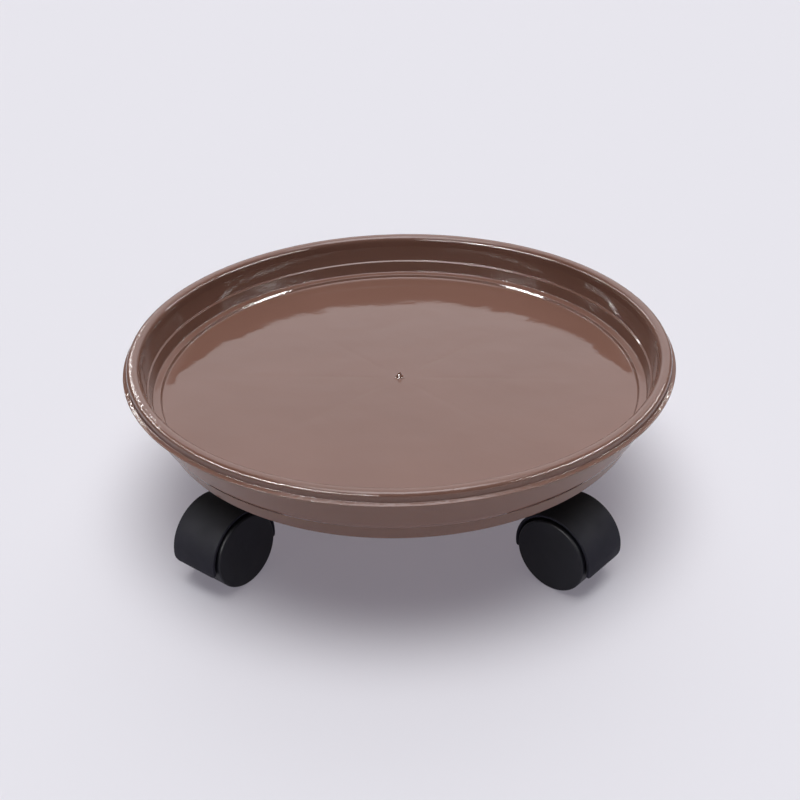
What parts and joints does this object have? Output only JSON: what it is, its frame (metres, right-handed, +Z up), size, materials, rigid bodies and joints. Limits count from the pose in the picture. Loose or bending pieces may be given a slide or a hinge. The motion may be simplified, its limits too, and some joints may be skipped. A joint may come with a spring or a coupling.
{
  "type": "plant pot caddy",
  "caption": "Round plant pot caddy: a shallow moulded tray with a rolled rim, carried on hooded swivel casters with paired wheels.",
  "frame": {"origin": "on the ground under the centre of the tray", "axes": "+Z up, -Y towards the front pair of casters, +X to the right"},
  "size_m": [0.3, 0.3, 0.0905],
  "materials": {
    "tray": "glossy moulded brown plastic",
    "hood": "satin black plastic with a fine grain",
    "wheel": "smooth black nylon",
    "bush": "plain black plastic",
    "steel": "bright zinc-plated steel"
  },
  "bodies": {
    "tray_body": {"tray": "tray", "front_left_socket_bush": "bush", "front_right_socket_bush": "bush", "rear_right_socket_bush": "bush", "rear_left_socket_bush": "bush"},
    "front_left_swivel_body": {"front_left_thrust_washer": "steel", "front_left_stem": "steel", "front_left_grip_ring": "steel", "front_left_hood": "hood", "front_left_axle": "steel"},
    "front_left_wheel_left_body": {"front_left_wheel_left": "wheel"},
    "front_left_wheel_right_body": {"front_left_wheel_right": "wheel"},
    "front_right_swivel_body": {"front_right_thrust_washer": "steel", "front_right_stem": "steel", "front_right_grip_ring": "steel", "front_right_hood": "hood", "front_right_axle": "steel"},
    "front_right_wheel_left_body": {"front_right_wheel_left": "wheel"},
    "front_right_wheel_right_body": {"front_right_wheel_right": "wheel"},
    "rear_right_swivel_body": {"rear_right_thrust_washer": "steel", "rear_right_stem": "steel", "rear_right_grip_ring": "steel", "rear_right_hood": "hood", "rear_right_axle": "steel"},
    "rear_right_wheel_left_body": {"rear_right_wheel_left": "wheel"},
    "rear_right_wheel_right_body": {"rear_right_wheel_right": "wheel"},
    "rear_left_swivel_body": {"rear_left_thrust_washer": "steel", "rear_left_stem": "steel", "rear_left_grip_ring": "steel", "rear_left_hood": "hood", "rear_left_axle": "steel"},
    "rear_left_wheel_left_body": {"rear_left_wheel_left": "wheel"},
    "rear_left_wheel_right_body": {"rear_left_wheel_right": "wheel"}
  },
  "joints": [
    {"name": "front_left_swivel", "type": "hinge", "parent": "tray_body", "child": "front_left_swivel_body", "pos_m": [-0.07884, -0.07884, 0.0474], "axis": [0, 0, 1], "continuous": true},
    {"name": "front_left_wheel_left_spin", "type": "hinge", "parent": "front_left_swivel_body", "child": "front_left_wheel_left_body", "pos_m": [-0.08714, -0.09073, 0.02], "axis": [0.8202, -0.5721, 0], "continuous": true},
    {"name": "front_left_wheel_right_spin", "type": "hinge", "parent": "front_left_swivel_body", "child": "front_left_wheel_right_body", "pos_m": [-0.08714, -0.09073, 0.02], "axis": [0.8202, -0.5721, 0], "continuous": true},
    {"name": "front_right_swivel", "type": "hinge", "parent": "tray_body", "child": "front_right_swivel_body", "pos_m": [0.07884, -0.07884, 0.0474], "axis": [0, 0, 1], "continuous": true},
    {"name": "front_right_wheel_left_spin", "type": "hinge", "parent": "front_right_swivel_body", "child": "front_right_wheel_left_body", "pos_m": [0.09013, -0.08795, 0.02], "axis": [0.628, 0.7782, 0], "continuous": true},
    {"name": "front_right_wheel_right_spin", "type": "hinge", "parent": "front_right_swivel_body", "child": "front_right_wheel_right_body", "pos_m": [0.09013, -0.08795, 0.02], "axis": [0.628, 0.7782, 0], "continuous": true},
    {"name": "rear_right_swivel", "type": "hinge", "parent": "tray_body", "child": "rear_right_swivel_body", "pos_m": [0.07884, 0.07884, 0.0474], "axis": [0, 0, 1], "continuous": true},
    {"name": "rear_right_wheel_left_spin", "type": "hinge", "parent": "rear_right_swivel_body", "child": "rear_right_wheel_left_body", "pos_m": [0.09042, 0.08757, 0.02], "axis": [-0.6018, 0.7986, 0], "continuous": true},
    {"name": "rear_right_wheel_right_spin", "type": "hinge", "parent": "rear_right_swivel_body", "child": "rear_right_wheel_right_body", "pos_m": [0.09042, 0.08757, 0.02], "axis": [-0.6018, 0.7986, 0], "continuous": true},
    {"name": "rear_left_swivel", "type": "hinge", "parent": "tray_body", "child": "rear_left_swivel_body", "pos_m": [-0.07884, 0.07884, 0.0474], "axis": [0, 0, 1], "continuous": true},
    {"name": "rear_left_wheel_left_spin", "type": "hinge", "parent": "rear_left_swivel_body", "child": "rear_left_wheel_left_body", "pos_m": [-0.08797, 0.09011, 0.02], "axis": [-0.7771, -0.6293, 0], "continuous": true},
    {"name": "rear_left_wheel_right_spin", "type": "hinge", "parent": "rear_left_swivel_body", "child": "rear_left_wheel_right_body", "pos_m": [-0.08797, 0.09011, 0.02], "axis": [-0.7771, -0.6293, 0], "continuous": true}
  ]
}
